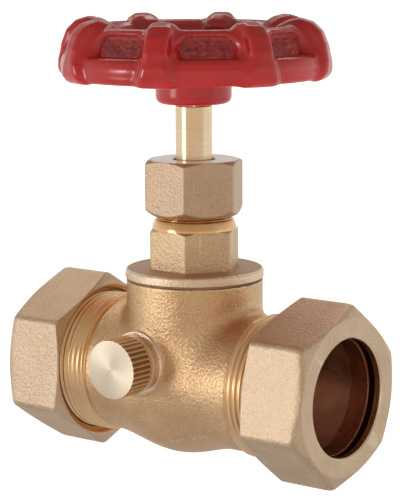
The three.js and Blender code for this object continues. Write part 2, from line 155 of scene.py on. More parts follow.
def revolved(profile, angles, arc=False):
    """Points and faces of a profile swept about Z.

    The profile is points by (radius, z), or angles by points by (radius, z). It closes on itself,
    unless it starts and ends on the axis. An arc has two flat ends in place of closing round.
    """
    angles = np.asarray(angles, float)
    count = len(angles)
    profile = np.broadcast_to(profile, (count,) + profile.shape[-2:])
    capped = bool(np.all(profile[:, 0, 0] == 0) and np.all(profile[:, -1, 0] == 0))
    rim = profile[:, 1:-1] if capped else profile
    rows = rim.shape[1]
    x = rim[..., 0] * np.cos(angles)[:, None]
    y = rim[..., 0] * np.sin(angles)[:, None]
    points = np.stack([x, y, rim[..., 1]], -1).reshape(-1, 3)
    spans = [(i * rows, (i + 1) % count * rows) for i in range(count - 1 if arc else count)]
    faces = []
    for a, b in spans:
        for j in range(rows - 1 if capped else rows):
            k = (j + 1) % rows
            faces.append((a + j, b + j, b + k, a + k))
    if capped:
        ends = np.array([[0, 0, profile[0, 0, 1]], [0, 0, profile[0, -1, 1]]])
        first, last = len(points), len(points) + 1
        points = np.concatenate([points, ends])
        for a, b in spans:
            faces.append((first, b, a))
            faces.append((last, a + rows - 1, b + rows - 1))
    if arc:
        faces.append(tuple(range(rows)))
        faces.append(tuple((count - 1) * rows + j for j in reversed(range(rows))))
    return points, faces


def around(steps):
    return np.linspace(0, 2 * math.pi, steps, endpoint=False)


def turned(name, rows, angles, towards="+Z", shift=(0, 0, 0), smooth=SMOOTH_ANGLE, segments=4, arc=False):
    """A piece whose profile, with its corners eased, is swept about an axis."""
    points, faces = revolved(eased(rows, segments), angles, arc)
    return new_piece(name, placed(points, towards, shift), faces, smooth)


def thread_rows(angles, from_z, to_z, major, depth, pitch, fade, rows_per_pitch):
    """Profile points along a helical thread: the crests are rounded, and it fades out over each end."""
    rows = max(2, round(abs(to_z - from_z) / pitch * rows_per_pitch))
    out = []
    for z in np.linspace(from_z, to_z, rows + 1):
        phase = (z / pitch - angles / (2 * math.pi)) % 1.0
        groove = np.clip(1.25 * np.abs(2 * phase - 1) - 0.12, 0, 1)
        groove = groove * groove * (3 - 2 * groove)
        ease = min(1.0, abs(z - from_z) / fade, abs(z - to_z) / fade)
        out.append((major - depth * (1 - groove * ease), z))
    return out


def hexagon(flats, edge_radius, corner_angle, flat_steps=8, corner_steps=10):
    """Angles, and the radius at each, of a hexagon with rounded edges."""
    half = flats / 2
    centre = (half - edge_radius) / math.cos(math.pi / 6)
    join = math.atan2((half - edge_radius) * math.tan(math.pi / 6), half)
    flat_offsets = np.linspace(-join, join, flat_steps, endpoint=False)
    edge_offsets = np.linspace(join, math.pi / 3 - join, corner_steps, endpoint=False)
    offsets = np.concatenate([flat_offsets, edge_offsets])
    angles = []
    radii = []
    for side in range(6):
        for offset in offsets:
            if abs(offset) <= join:
                radius = half / math.cos(offset)
            else:
                from_corner = abs(math.pi / 6 - offset)
                lean = centre * math.sin(from_corner)
                radius = centre * math.cos(from_corner) + math.sqrt(max(edge_radius**2 - lean**2, 0))
            angles.append(math.radians(corner_angle + 30) + side * math.pi / 3 + offset)
            radii.append(radius)
    return np.array(angles), np.array(radii)


# ---- smooth solids from distances


def soft_min(a, b, k):
    """The smaller of two distances, rounded over a width k where they cross."""
    h = np.maximum(k - np.abs(a - b), 0) / k
    return np.minimum(a, b) - h * h * k / 4


def soft_max(a, b, k):
    return -soft_min(-a, -b, k)


def path_distance(u, v, path):
    """How far (u, v) is from a path of straight stretches."""
    best = None
    for (u0, v0), (u1, v1) in zip(path, path[1:]):
        du, dv = u1 - u0, v1 - v0
        t = np.clip(((u - u0) * du + (v - v0) * dv) / (du * du + dv * dv), 0, 1)
        d = np.hypot(u - u0 - t * du, v - v0 - t * dv)
        best = d if best is None else np.minimum(best, d)
    return best


def neighbours(values, axis, across):
    """A grid of values, and the same moved on by one along an axis."""
    near = [across] * 3
    far = [across] * 3
    near[axis], far[axis] = slice(None, -1), slice(1, None)
    return values[tuple(near)], values[tuple(far)]


def surface(distance, low, high, step):
    """Points and faces of the surface where a distance is zero, in cells of a step across."""
    axes = [np.arange(a, b + step, step) for a, b in zip(low, high)]
    grid = np.meshgrid(*axes, indexing="ij")
    values = distance(*grid)
    inside = values < 0
    cells = tuple(n - 1 for n in values.shape)
    total = np.zeros(cells + (3,))
    crossings = np.zeros(cells)
    for axis in range(3):
        a, b = neighbours(values, axis, slice(None))
        crossed = (a < 0) != (b < 0)
        share = np.where(crossed, a / np.where(crossed, a - b, 1), 0)
        others = [i for i in range(3) if i != axis]
        for first in (0, 1):
            for second in (0, 1):
                pick = [slice(None)] * 3
                pick[others[0]] = slice(first, first + cells[others[0]])
                pick[others[1]] = slice(second, second + cells[others[1]])
                hit = crossed[tuple(pick)]
                spot = np.zeros(cells + (3,))
                spot[..., axis] = share[tuple(pick)]
                spot[..., others[0]] = first
                spot[..., others[1]] = second
                total += spot * hit[..., None]
                crossings += hit
    used = crossings > 0
    index = np.full(cells, -1)
    index[used] = np.arange(used.sum())
    corner = np.stack([grid[i][:-1, :-1, :-1][used] for i in range(3)], -1)
    points = corner + total[used] / crossings[used][:, None] * step
    faces = []
    for axis in range(3):
        others = [i for i in range(3) if i != axis]
        a, b = neighbours(inside, axis, slice(1, -1))
        spots = np.argwhere(a != b)
        entering = a[tuple(spots.T)]
        quads = []
        for first, second in ((0, 0), (1, 0), (1, 1), (0, 1)):
            cell = spots.copy()
            cell[:, others[0]] += first
            cell[:, others[1]] += second
            quads.append(index[tuple(cell.T)])
        quads = np.stack(quads, 1)
        flip = entering if axis != 1 else ~entering
        quads[~flip] = quads[~flip][:, ::-1]
        faces.append(quads)
    points = onto_surface(distance, points, step)
    return points, [tuple(q) for q in np.concatenate(faces).tolist()]


def onto_surface(distance, points, step, rounds=3):
    """Moves points along the slope of the distance until it is zero."""
    small = step * 0.05
    for _ in range(rounds):
        value = distance(*points.T)
        moves = small * np.eye(3)
        rises = [distance(*(points + move).T) - distance(*(points - move).T) for move in moves]
        slope = np.stack(rises, 1) / (2 * small)
        size = np.maximum((slope * slope).sum(1), 0.05)
        move = (value / size)[:, None] * slope
        reach = np.linalg.norm(move, axis=1, keepdims=True)
        points = points - move * np.minimum(1, 0.4 * step / np.maximum(reach, 1e-9))
    return points


# ---- materials


class Nodes:
    """A node tree under construction."""

    def __init__(self, tree):
        self.tree = tree

    def fill(self, socket, value):
        """Links a socket to another node's output, or sets it to a constant."""
        if isinstance(value, bpy.types.NodeSocket):
            self.tree.links.new(value, socket)
        else:
            socket.default_value = value

    def add(self, kind, inputs=None, **settings):
        node = self.tree.nodes.new(kind)
        for key, value in settings.items():
            setattr(node, key, value)
        for key, value in (inputs or {}).items():
            self.fill(node.inputs[key], value)
        return node

    def maths(self, operation, a, b=0.0):
        return self.add("ShaderNodeMath", {0: a, 1: b}, operation=operation).outputs[0]

    def spread(self, value, low, high, to_low=0.0, to_high=1.0):
        """Maps low..high to another range, and holds it there."""
        inputs = {"Value": value, "From Min": low, "From Max": high, "To Min": to_low, "To Max": to_high}
        return self.add("ShaderNodeMapRange", inputs).outputs["Result"]

    def blend(self, share, a, b):
        """A colour part of the way from a to b."""
        mix = self.add("ShaderNodeMix", {0: share}, data_type="RGBA", blend_type="MIX")
        for socket, value in ((6, a), (7, b)):
            self.fill(mix.inputs[socket], (*value, 1.0) if isinstance(value, tuple) else value)
        return mix.outputs[2]


class Surface(Nodes):
    """A material under construction, with noise and rings in the object's own space."""

    def __init__(self, name, **sockets):
        self.material = bpy.data.materials.new(name)
        self.material.use_nodes = True
        super().__init__(self.material.node_tree)
        self.tree.nodes.clear()
        output = self.tree.nodes.new("ShaderNodeOutputMaterial")
        self.shader = self.tree.nodes.new("ShaderNodeBsdfPrincipled")
        self.tree.links.new(self.shader.outputs["BSDF"], output.inputs["Surface"])
        for socket, value in sockets.items():
            self.shader.inputs[socket.replace("_", " ")].default_value = value
        self.place = self.tree.nodes.new("ShaderNodeTexCoord").outputs["Object"]

    def link(self, socket, value):
        self.tree.links.new(value, self.shader.inputs[socket])

    def noise(self, scale, detail=3.0, roughness=0.55, vector=None, distortion=0.0):
        inputs = {
            "Vector": vector or self.place,
            "Scale": scale,
            "Detail": detail,
            "Roughness": roughness,
            "Distortion": distortion,
        }
        return self.add("ShaderNodeTexNoise", inputs).outputs["Fac"]

    def tone(self, a, b):
        """The sum of two values, each given with the range to spread and the range it becomes."""
        return self.maths("ADD", self.spread(*a), self.spread(*b))

    def bump(self, height, distance, strength, after=None):
        inputs = {"Height": height, "Distance": distance, "Strength": strength}
        if after:
            inputs["Normal"] = after
        return self.add("ShaderNodeBump", inputs).outputs["Normal"]

    def worn(self, share, colour, bare):
        """Another colour on outward edges, where handling wears the surface."""
        pointed = self.add("ShaderNodeNewGeometry").outputs["Pointiness"]
        return self.blend(self.maths("MULTIPLY", self.spread(pointed, 0.52, 0.57), share), colour, bare)

    def rings(self, scale, axis, centre=(0, 0, 0)):
        """Noise in fine rings about a line, as a lathe tool leaves on faces and barrels."""
        moved = self.add("ShaderNodeVectorMath", {0: self.place, 1: tuple(-c * MM for c in centre)})
        split = self.add("ShaderNodeSeparateXYZ", {0: moved.outputs[0]})
        others = [i for i in range(3) if i != axis]
        squares = [self.maths("MULTIPLY", split.outputs[i], split.outputs[i]) for i in others]
        radius = self.maths("SQRT", self.maths("ADD", *squares))
        line = self.add("ShaderNodeCombineXYZ", {0: radius, 1: split.outputs[axis]}).outputs[0]
        return self.noise(scale, 2.0, 0.6, vector=line)


WORN_BRASS = (0.95, 0.82, 0.62)


def forged_brass(name, light, dark, grain=1.0, rough=0.44, stained=0.0):
    """Hot-forged and shot-blasted brass: a sandy grain, cloudy tone, brown stains and worn edges."""
    n = Surface(name, Metallic=1.0)
    sand = n.noise(2600, 3.0, 0.7)
    pits = n.add("ShaderNodeTexVoronoi", {"Vector": n.place, "Scale": 1300.0}).outputs["Distance"]
    cloud = n.noise(95, 4.0, 0.6)
    colour = n.blend(n.tone((sand, 0.36, 0.64, 0.0, 0.6), (cloud, 0.3, 0.7, 0.0, 0.4)), dark, light)
    stain = n.spread(n.noise(48, 3.0, 0.6, distortion=0.5), 0.50, 0.70, 0.0, stained)
    colour = n.blend(stain, colour, (0.66, 0.38, 0.24))
    n.link("Base Color", n.worn(0.45, colour, WORN_BRASS))
    patchy = n.maths("ADD", sand, n.maths("MULTIPLY", cloud, 0.5))
    n.link("Roughness", n.spread(patchy, 0.45, 1.05, rough - 0.09, rough + 0.11))
    coarse = n.bump(n.noise(420, 2.0, 0.5), 0.00004 * grain, 0.5)
    height = n.maths("ADD", sand, n.maths("MULTIPLY", pits, 0.7))
    n.link("Normal", n.bump(height, 0.00009 * grain, 0.9, after=coarse))
    return n.material


TURNED_LIGHT = (0.90, 0.74, 0.50)
TURNED_DARK = (0.70, 0.50, 0.28)


def turned_brass(name, axis, light=TURNED_LIGHT, dark=TURNED_DARK, rough=0.24, centre=(0, 0, 0)):
    """Brass straight from the lathe: tool marks in rings, with a long soft highlight."""
    n = Surface(name, Metallic=1.0)
    marks = n.rings(5200, axis, centre)
    broad = n.rings(1100, axis, centre)
    cloud = n.noise(160, 3.0, 0.6)
    colour = n.blend(n.tone((marks, 0.3, 0.7, 0.0, 0.45), (cloud, 0.3, 0.7, 0.1, 0.55)), dark, light)
    n.link("Base Color", n.worn(0.4, colour, WORN_BRASS))
    n.link("Roughness", n.spread(marks, 0.3, 0.7, rough - 0.05, rough + 0.09))
    n.link("Normal", n.bump(n.maths("ADD", marks, broad), 0.000018, 0.6))
    return n.material


def faced_brass(name, centre, light, dark):
    """The end of a turned part, faced off: rings about Y whose highlight fans out from the middle."""
    n = Surface(name, Metallic=1.0, Anisotropic=0.5)
    marks = n.rings(4200, 1, centre)
    cloud = n.noise(220, 3.0, 0.6)
    tone = n.tone((marks, 0.3, 0.7, 0.1, 0.45), (cloud, 0.3, 0.7, 0.0, 0.5))
    n.link("Base Color", n.blend(tone, dark, light))
    n.link("Roughness", n.spread(marks, 0.3, 0.7, 0.36, 0.44))
    n.link("Tangent", n.add("ShaderNodeTangent", direction_type="RADIAL", axis="Y").outputs[0])
    n.link("Normal", n.bump(marks, 0.000008, 0.4))
    return n.material


def bore_brass(name):
    """The tarnished inside of a bore: dark copper-brown blotches over tool marks."""
    n = Surface(name, Metallic=1.0)
    marks = n.rings(3200, 0)
    blotch = n.noise(110, 3.0, 0.6, distortion=0.4)
    tone = n.tone((blotch, 0.35, 0.65, 0.0, 0.75), (marks, 0.3, 0.7, 0.0, 0.25))
    n.link("Base Color", n.blend(tone, (0.54, 0.35, 0.27), (0.95, 0.73, 0.61)))
    n.link("Roughness", n.spread(blotch, 0.3, 0.7, 0.30, 0.46))
    n.link("Normal", n.bump(marks, 0.00003, 0.6))
    return n.material


# Pairs of radii, in millimetres, between which the wheel's enamel goes from thick to thin and rough; under
# the dish the thin paint is also darkened as painted shade
UNDER_RIM = (28.6, 26.4)
PAST_HUB = (9.6, 10.8)
INNER_WALL = (25.2, 25.8)


def red_enamel(name):
    """Thick glossy red enamel over a die casting, thin and rough inside where the spray hardly reached, and
    painted darker under the dish as painted shade.
    """
    n = Surface(name, Metallic=0.0, Coat_Roughness=0.08, IOR=1.5)
    cloud = n.noise(70, 3.0, 0.6)
    peel = n.noise(520, 1.5, 0.4)
    speck = n.noise(900, 4.0, 0.75, distortion=0.5)
    paint = n.blend(n.spread(cloud, 0.3, 0.7), (0.35, 0.0070, 0.0090), (0.43, 0.0110, 0.0135))
    paint = n.worn(0.3, paint, (0.50, 0.035, 0.04))
    split = n.add("ShaderNodeSeparateXYZ", {0: n.place})
    level = n.add("ShaderNodeCombineXYZ", {0: split.outputs[0], 1: split.outputs[1]}).outputs[0]
    radius = n.add("ShaderNodeVectorMath", {0: level}, operation="LENGTH").outputs["Value"]
    outward = n.add("ShaderNodeVectorMath", {0: level}, operation="NORMALIZE").outputs[0]
    normal = n.add("ShaderNodeNewGeometry").outputs["Normal"]
    facing = n.add("ShaderNodeSeparateXYZ", {0: normal})

    def by_radius(span):
        return n.spread(radius, span[0] * MM, span[1] * MM)

    # The inner wall and the dish's underside get thin, rough paint; the underside is also painted darker,
    # as painted shade.
    under = n.maths("MULTIPLY", n.spread(facing.outputs[2], 0.05, -0.35), by_radius(UNDER_RIM))
    dish_underside = n.maths("MULTIPLY", under, by_radius(PAST_HUB))
    away = n.add("ShaderNodeVectorMath", {0: normal, 1: outward}, operation="DOT_PRODUCT").outputs["Value"]
    inner_wall = n.maths("MULTIPLY", n.spread(away, -0.1, -0.4), by_radius(INNER_WALL))
    thin_and_shaded = n.maths("MAXIMUM", dish_underside, inner_wall)
    wall_coat = n.blend(n.spread(speck, 0.43, 0.60), (0.19, 0.034, 0.034), (0.60, 0.085, 0.080))
    # Painted shade: the darker, browner colour of the dish's underside.
    dish_shaded_coat = n.blend(n.spread(speck, 0.42, 0.62), (0.15, 0.028, 0.027), (0.42, 0.058, 0.054))
    n.link("Base Color", n.blend(thin_and_shaded, paint, n.blend(inner_wall, dish_shaded_coat, wall_coat)))
    n.link("Coat Weight", n.spread(thin_and_shaded, 0.0, 1.0, 0.3, 0.0))
    n.link("Specular IOR Level", n.spread(thin_and_shaded, 0.0, 1.0, 0.5, 0.15))
    shine = n.spread(cloud, 0.3, 0.7, 0.18, 0.27)
    n.link("Roughness", n.maths("ADD", shine, n.maths("MULTIPLY", thin_and_shaded, 0.45)))
    peeled = n.bump(peel, 0.00006, 0.35)
    speckled = n.maths("MULTIPLY", speck, n.maths("ADD", thin_and_shaded, 0.04))
    n.link("Normal", n.bump(speckled, 0.0003, 0.6, after=peeled))
    return n.material


def plain_metal(name, light, dark, rough, axis=2, centre=(0, 0, 0)):
    """Plated or drawn metal with faint rings and scuffs."""
    n = Surface(name, Metallic=1.0)
    marks = n.rings(3800, axis, centre)
    scuff = n.noise(700, 4.0, 0.7, distortion=0.6)
    both = n.maths("ADD", marks, scuff)
    n.link("Base Color", n.blend(n.spread(scuff, 0.35, 0.7), dark, light))
    n.link("Roughness", n.spread(both, 0.6, 1.4, rough - 0.08, rough + 0.12))
    n.link("Normal", n.bump(both, 0.00002, 0.5))
    return n.material


def soft_matter(name, light, dark, rough, scale, depth):
    """Rubber, pressed fibre or graphited cord: matt, speckled, faintly lumpy."""
    n = Surface(name, Metallic=0.0)
    speck = n.noise(scale, 4.0, 0.7, distortion=0.4)
    lump = n.noise(scale * 0.15, 2.0, 0.5)
    n.link("Base Color", n.blend(n.spread(n.maths("ADD", speck, lump), 0.7, 1.3), dark, light))
    n.link("Roughness", n.spread(speck, 0.3, 0.7, rough - 0.1, min(rough + 0.1, 1.0)))
    n.link("Normal", n.bump(n.maths("ADD", speck, n.maths("MULTIPLY", lump, 2.0)), depth, 0.6))
    return n.material


# ---- giving a piece its place


def settle(piece, node, *materials):
    """Puts a finished piece in the place of a CAD node: its body and its materials."""
    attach(piece, BODY_OF[node])
    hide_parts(node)
    piece.data.materials.clear()
    for material in materials:
        piece.data.materials.append(material)
    even = piece.modifiers.new("even_shading", "WEIGHTED_NORMAL")
    even.keep_sharp = True
    return piece


def paint(piece, index, where):
    """Gives some faces another of the piece's materials.

    where() picks them, from the x, y and z rows of their centres in millimetres and of their normals.
    """
    mesh = piece.data
    count = len(mesh.polygons)
    centres = np.empty(count * 3)
    normals = np.empty(count * 3)
    mesh.polygons.foreach_get("center", centres)
    mesh.polygons.foreach_get("normal", normals)
    slots = np.empty(count, dtype=np.int32)
    mesh.polygons.foreach_get("material_index", slots)
    slots[where(centres.reshape(-1, 3).T / MM, normals.reshape(-1, 3).T)] = index
    mesh.polygons.foreach_set("material_index", slots)
    mesh.update()


def about_x_axis(centres):
    return np.hypot(centres[1], centres[2])


def about_z_axis(centres):
    return np.hypot(centres[0], centres[1])


# ---- body casting

RUN_RADIUS = 16.8
THREAD_RADIUS = 17.5
THREAD_DEPTH = 0.62
THREAD_ROOT = THREAD_RADIUS - THREAD_DEPTH
THREAD_PITCH = 1.5
THREAD_START = 21.8
CAST_END = 23.0  # the casting proper stops here, inside the threaded ends
END_START = 20.8  # the threaded ends reach back to here
TUBE_STOP = 24.0
SOCKET_RADIUS = 14.15
WATERWAY_RADIUS = 13.0
BORE_START = 16.5
BORE_RELIEF = {"depth": 0.6, "from": 20.5}  # the threaded ends line the bore from here
NECK_BORE = 14.2
BELLY_X, BELLY_LENGTH, BELLY_WIDTH = -2.5, 18.5, 15.4
GLOBE_RADIUS, GLOBE_DEPTH = 13.4, 16.4
CHAMBER_WALL, CHAMBER_END = 11.5, 17.0
BOSS_RADIUS = 7.8
BOSS_START = 13.0
BOSS_FOOT = {"radius": BOSS_RADIUS - 0.4, "middle": -11.0, "half_length": 6.5}
DRAIN_HOLE = 3.6
DRAIN_HOLE_END = -8.0
SEAT_RADIUS = 9.0
SEAT_RING, SEAT_TOP = 11.2, -0.8
PORT = {"middle": -3.0, "half_height": 4.0}
BRIDGE_TOP, BRIDGE_BOTTOM = -2.3, -4.3
CELL = 0.42  # cell size of the cast surfaces

# How far the casting's shapes blend into one another
BLEND = {"neck": 3.2, "neck_end": 3.0, "belly": 3.2, "under": 2.4, "boss": 1.4, "step": 0.5, "top": 0.2}
BRIDGE_BLEND, CHAMBER_BLEND, RIM_BLEND = 1.2, 2.0, 0.4


def drain_axis():
    """Where the drain plug's axis is, in x and z, and how far out its seat is."""
    low, high = box_mm("drain_plug")
    seal_high = box_mm("drain_seal")[1]
    return (low[0] + high[0]) / 2, (low[2] + high[2]) / 2, -(seal_high[1] + 0.1)


def egg(x, y, z, length, width, depth):
    """Roughly the distance to an egg shape about the origin."""
    return (np.sqrt((x / length) ** 2 + (y / width) ** 2 + (z / depth) ** 2) - 1) * width


def casting_outside(x, y, z, depth, top):
    """The run, belly and neck, blended, with the foot of the drain boss."""
    about_x = np.hypot(y, z)
    run = about_x - RUN_RADIUS
    neck = soft_max(np.hypot(x, y) - RUN_RADIUS, -z, BLEND["neck_end"])
    belly = egg(x - BELLY_X, y, z, BELLY_LENGTH, BELLY_WIDTH, depth)
    belly_blend = BLEND["belly"] + BLEND["under"] * np.clip(-z / depth, 0, 1)
    shape = soft_min(soft_min(run, belly, belly_blend), neck, BLEND["neck"])
    boss_x, boss_z, _ = drain_axis()
    foot = np.hypot(x - boss_x, z - boss_z) - BOSS_FOOT["radius"]
    foot = np.maximum(foot, np.abs(y - BOSS_FOOT["middle"]) - BOSS_FOOT["half_length"])
    shape = soft_max(soft_min(shape, foot, BLEND["boss"]), z - top, BLEND["top"])
    step_in = np.minimum(np.abs(x) - THREAD_START, about_x - (THREAD_ROOT - 0.9))
    return np.maximum(soft_max(shape, step_in, BLEND["step"]), np.abs(x) - CAST_END)


def casting_inside(x, y, z):
    """The waterway: bores from both ends, the inlet's chamber under the seat, the outlet's above it."""
    about_z = np.hypot(x, y)
    bore = np.hypot(y, z) - WATERWAY_RADIUS
    relief = BORE_RELIEF["depth"] * (np.abs(x) > BORE_RELIEF["from"])
    bores = np.maximum(bore - relief, BORE_START - np.abs(x))
    globe = egg(x, y, z, GLOBE_RADIUS, GLOBE_RADIUS, GLOBE_DEPTH)
    inlet = soft_max(np.minimum(bore, globe), z - BRIDGE_BOTTOM, BRIDGE_BLEND)
    inlet = np.maximum(soft_max(inlet, -CHAMBER_WALL - x, CHAMBER_BLEND), x - CHAMBER_END)
    outlet = soft_max(bore, BRIDGE_TOP - z, BRIDGE_BLEND)
    outlet = soft_max(outlet, x - CHAMBER_WALL, CHAMBER_BLEND)
    outlet = np.maximum(outlet, -CHAMBER_END - x)
    above = soft_max(about_z - NECK_BORE, BRIDGE_TOP - z, BRIDGE_BLEND)
    seat = soft_max(about_z - SEAT_RING, z - SEAT_TOP, RIM_BLEND)
    upper = soft_max(np.minimum(outlet, above), -seat, RIM_BLEND)
    port = np.maximum(about_z - SEAT_RADIUS, np.abs(z - PORT["middle"]) - PORT["half_height"])
    boss_x, boss_z, _ = drain_axis()
    drain = np.maximum(np.hypot(x - boss_x, z - boss_z) - DRAIN_HOLE - 0.3, y - DRAIN_HOLE_END)
    hollow = np.minimum(np.minimum(bores, inlet), np.minimum(upper, port))
    return np.minimum(hollow, drain)


def threaded_end(towards, end):
    """One threaded end of the body: a tube that overlaps the casting, with a mouth for the olive."""
    angles = around(168)
    mouth = SOCKET_RADIUS + 1.9
    shelf = box_mm("inlet_olive")[0][0] - 0.12
    thread = (THREAD_START + 0.25, end - 0.9, THREAD_RADIUS, THREAD_DEPTH, THREAD_PITCH, 0.35)
    rows = [
        (THREAD_ROOT - 0.7, END_START),
        (THREAD_ROOT - 0.7, THREAD_START - 0.1),
        (THREAD_ROOT, THREAD_START + 0.15),
        *thread_rows(angles, *thread, rows_per_pitch=14),
        (THREAD_ROOT - 0.35, end - 0.25, 0.15),
        (THREAD_ROOT - 0.8, end, 0.15),
        (mouth, end, 0.2),
        (mouth - 0.5, shelf),
        (SOCKET_RADIUS, shelf, 0.02),
        (SOCKET_RADIUS, TUBE_STOP + 1.4, 0.4),
        (WATERWAY_RADIUS, TUBE_STOP - 2.0, 0.4),
        (WATERWAY_RADIUS, END_START),
    ]
    return turned("threaded_end", rows, angles, towards)


def drain_boss():
    """The turned end of the drain boss: a ring with two fine grooves round it and a crisp seat."""
    boss_x, boss_z, face = drain_axis()
    groove = 0.35
    rows = [(DRAIN_HOLE, BOSS_START), (BOSS_RADIUS, BOSS_START)]
    for middle in (face - 2.6, face - 1.2):
        rows += [
            (BOSS_RADIUS, middle - 0.3, 0.1),
            (BOSS_RADIUS - groove, middle, 0.1),
            (BOSS_RADIUS, middle + 0.3, 0.1),
        ]
    rows += [(BOSS_RADIUS, face, 0.25), (DRAIN_HOLE, face, 0.15)]
    return turned("drain_boss", rows, around(128), "-Y", (boss_x, 0, boss_z))


def body_casting():
    low, high = box_mm("body_casting")
    boss_x, boss_z, face = drain_axis()
    margin = 1.2

    def distance(x, y, z):
        outside = casting_outside(x, y, z, -low[2], high[2])
        return soft_max(outside, -casting_inside(x, y, z), RIM_BLEND)

    start = (-CAST_END - margin, low[1] - margin, low[2] - margin)
    stop = (CAST_END + margin, high[1] + margin, high[2] + margin)
    points, faces = surface(distance, start, stop, CELL)
    casting = new_piece("valve_body", points, faces, 50)
    joined(casting, [threaded_end("+X", high[0]), threaded_end("-X", -low[0])], smooth_angle=40)
    joined(casting, [drain_boss()], smooth_angle=40)
    boss_axis = (boss_x, 0, boss_z)
    settle(
        casting,
        "body_casting",
        forged_brass("forged_brass_body", (0.96, 0.70, 0.42), (0.58, 0.36, 0.19), 1.3, 0.34, stained=0.5),
        turned_brass("turned_brass_threads", 0, (1.0, 0.76, 0.47), (0.88, 0.61, 0.35), 0.3),
        bore_brass("bore_brass"),
        turned_brass("turned_brass_boss", 1, (0.95, 0.78, 0.62), (0.72, 0.53, 0.38), centre=boss_axis),
    )
    edge = 15.9  # from here in, the threaded ends are bore
    paint(casting, 1, lambda c, n: (np.abs(c[0]) > THREAD_START - 0.05) & (about_x_axis(c) > edge - 0.1))
    paint(casting, 2, lambda c, n: (np.abs(c[0]) > CHAMBER_WALL - 0.5) & (about_x_axis(c) < edge))

    def off_boss(c):
        """How far outside the boss's turned side a point is."""
        return np.hypot(c[0] - boss_x, c[2] - boss_z) - BOSS_RADIUS

    def boss_side(c, n):
        return (c[1] < -BOSS_START) & (np.abs(off_boss(c) + 0.15) < 0.3) & (np.abs(n[1]) < 0.8)

    paint(casting, 3, boss_side)
    paint(casting, 3, lambda c, n: (c[1] < -face + 0.1) & (off_boss(c) < 0.02))


# ---- bonnet, gasket and gland

HEX_TURN = -3.0  # how far the bonnet's and gland nut's hexagons are turned, in degrees
GLAND_PITCH = 1.5
BONNET_HEX = {"flats": 20.0, "edge": 0.9, "height": 9.7, "land": 10.3, "inside": 8.4}
FLANGE_THICKNESS = 2.3
SPIGOT_RADIUS = 13.85
COLLAR_RADIUS = 10.35
GLAND_NECK = 9.2
STUFFING_BOX = {"radius": 7.0, "floor": 41.0}
SPINDLE_BORE = {"radius": 4.8, "from": 34.0}
SPINDLE_CHAMBER = 6.8


def bonnet_core(low, high, flange_bottom, flange_top, hex_top):
    """The bonnet without its hexagon, from the spigot in the body to the neck in the gland nut."""
    body_top = box_mm("body_casting")[1][2]
    collar_top = hex_top + 2.1
    waist, under_hex = 9.3, 9.0
    angles = around(144)
    spigot = (low[2] + 1.0, body_top - 1.4, SPIGOT_RADIUS, 0.6, 1.5, 0.4)
    neck = (collar_top + 1.1, high[2] - 0.6, GLAND_NECK, 0.7, GLAND_PITCH, 0.4)
    rows = [
        (SPIGOT_RADIUS - 0.8, low[2], 0.2),
        (SPIGOT_RADIUS, low[2] + 0.8, 0.2),
        *thread_rows(angles, *spigot, rows_per_pitch=8),
        (SPIGOT_RADIUS - 0.5, body_top - 1.0),
        (SPIGOT_RADIUS - 0.5, flange_bottom),
        (high[0], flange_bottom, 0.12),
        (high[0], flange_top, 1.0),
        (under_hex, flange_top),
        (under_hex, hex_top - 0.35),
        (COLLAR_RADIUS, hex_top - 0.35, 0.1),
        (COLLAR_RADIUS, hex_top + 0.4, 0.3),
        (COLLAR_RADIUS - 0.55, hex_top + 2.2, 0.8),
        (waist, hex_top + 2.5, 0.3),
        (waist, collar_top + 0.6, 0.3),
        (GLAND_NECK - 0.7, collar_top + 0.8, 0.2),
        *thread_rows(angles, *neck, rows_per_pitch=10),
        (GLAND_NECK - 1.1, high[2], 0.2),
        (STUFFING_BOX["radius"], high[2], 0.2),
        (STUFFING_BOX["radius"], STUFFING_BOX["floor"], 0.3),
        (SPINDLE_BORE["radius"], STUFFING_BOX["floor"], 0.3),
        (SPINDLE_BORE["radius"], SPINDLE_BORE["from"], 0.3),
        (SPINDLE_CHAMBER, SPINDLE_BORE["from"], 0.3),
        (SPINDLE_CHAMBER, low[2], 0.3),
    ]
    return turned("bonnet_detail", rows, angles)


